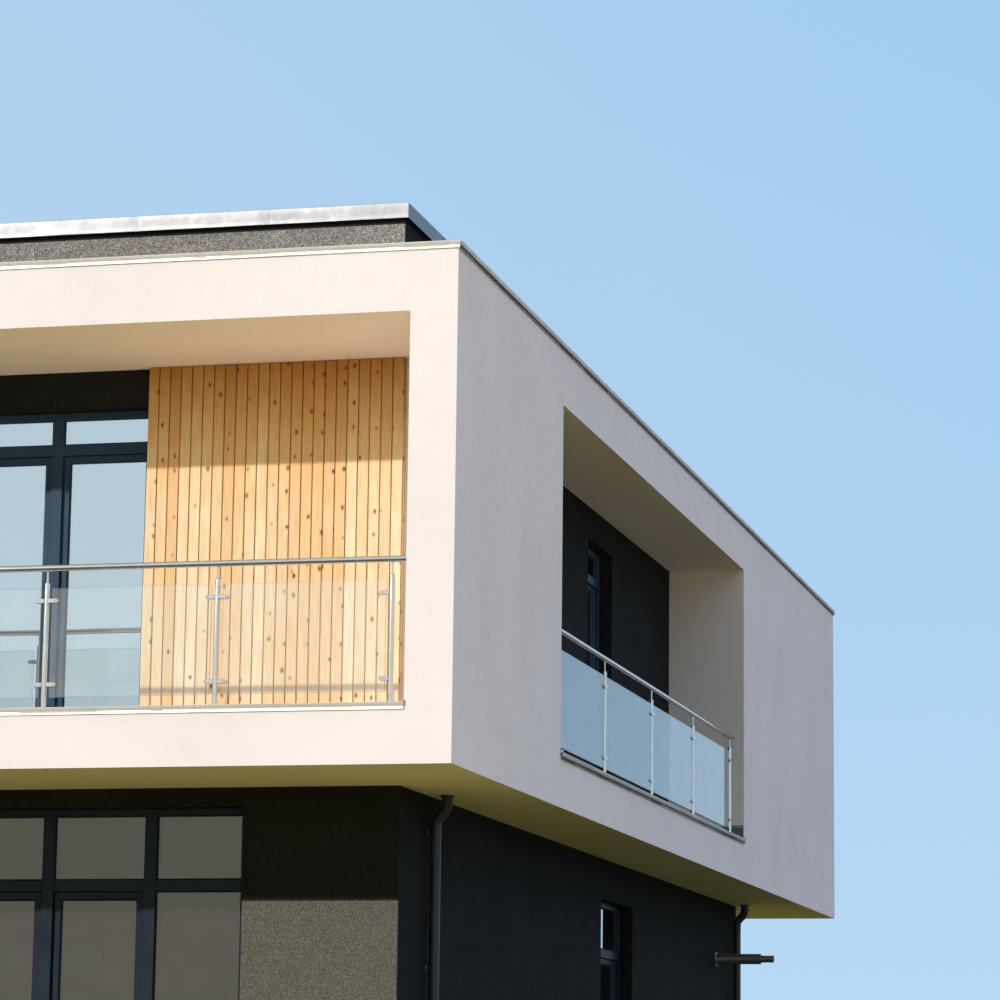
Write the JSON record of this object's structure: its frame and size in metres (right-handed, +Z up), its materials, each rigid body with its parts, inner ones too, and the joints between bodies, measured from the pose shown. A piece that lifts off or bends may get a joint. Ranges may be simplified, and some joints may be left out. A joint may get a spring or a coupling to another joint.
{
  "type": "detached house",
  "caption": "Two-storey flat-roofed house: dark core, white box round the upper storey, loggias with glass balustrades, two glazed doors.",
  "frame": {"origin": "middle of the house's plan, on the ground", "axes": "+X to the right of the main front, +Y towards the back, +Z up"},
  "size_m": [11.102, 18.002, 7.765],
  "materials": {
    "render_white": "fine sponge-floated white render on masonry and concrete",
    "render_charcoal": "coarse bark-textured charcoal render on masonry",
    "screed": "trowelled screed",
    "bitumen": "mineral-faced bitumen sheet",
    "larch": "oiled larch",
    "cream_metal": "satin coil-coated steel sheet",
    "zinc_coated": "galvanised steel sheet",
    "stainless": "brushed stainless steel",
    "pipe_finish": "coated steel, anthracite",
    "railing_glass": "clear laminated glass",
    "frame_finish": "powder-coated aluminium, anthracite blue",
    "window_glazing": "reflective insulating glass"
  },
  "bodies": {
    "house": {"ground_floor_slab": "screed", "ground_front_wall_right": "render_charcoal", "ground_front_wall_middle": "render_charcoal", "ground_front_wall_left": "render_charcoal", "ground_unit_surrounds": "render_charcoal", "ground_right_wall": "render_charcoal", "ground_left_wall": "render_charcoal", "ground_back_wall": "render_charcoal", "upper_floor_slab": "render_white", "box_right_walls": "render_white", "box_left_walls": "render_white", "box_back_wall": "render_white", "loggia_corner_walls": "render_white", "loggia_end_walls": "render_white", "front_loggia_wall": "render_charcoal", "right_loggia_wall": "render_charcoal", "left_loggia_wall": "render_charcoal", "loggia_kerbs": "render_white", "loggia_upstrips": "bitumen", "timber_cladding": "larch", "roof_slab": "render_white", "roof_upstands_front_back": "render_white", "roof_upstands_sides": "render_white", "roof_edge_coping": "cream_metal", "parapet_front_back": "render_charcoal", "parapet_sides": "render_charcoal", "parapet_coping": "zinc_coated", "roof_covering": "bitumen", "sill_copings": "cream_metal", "front_posts": "stainless", "front_handrail": "stainless", "front_glass_panels": "railing_glass", "side_posts": "stainless", "side_handrails": "stainless", "side_glass_panels": "railing_glass", "ground_unit_uprights": "frame_finish", "ground_unit_rails": "frame_finish", "door_hinges": "stainless", "ground_fixed_leaves": "frame_finish", "ground_unit_glass": "window_glazing", "upper_unit_frames": "frame_finish", "upper_unit_leaves": "frame_finish", "upper_unit_glass": "window_glazing", "window_frames": "frame_finish", "window_sashes": "frame_finish", "window_glass": "window_glazing", "window_sills": "cream_metal", "downpipes": "pipe_finish", "pipe_brackets": "pipe_finish", "boiler_flue": "zinc_coated"},
    "door_leaf_a": {"door_leaf_a_frame": "frame_finish", "door_leaf_a_glass": "window_glazing", "door_leaf_a_handle": "stainless"},
    "door_leaf_b": {"door_leaf_b_frame": "frame_finish", "door_leaf_b_glass": "window_glazing", "door_leaf_b_handle": "stainless"}
  },
  "joints": [
    {"name": "door_a_hinge", "type": "hinge", "parent": "house", "child": "door_leaf_a", "pos_m": [1.276, -7.268, 1.5], "axis": [0, 0, 1], "range_deg": [0, 90]},
    {"name": "door_b_hinge", "type": "hinge", "parent": "house", "child": "door_leaf_b", "pos_m": [2.774, -7.268, 1.5], "axis": [0, 0, -1], "range_deg": [0, 90]}
  ]
}
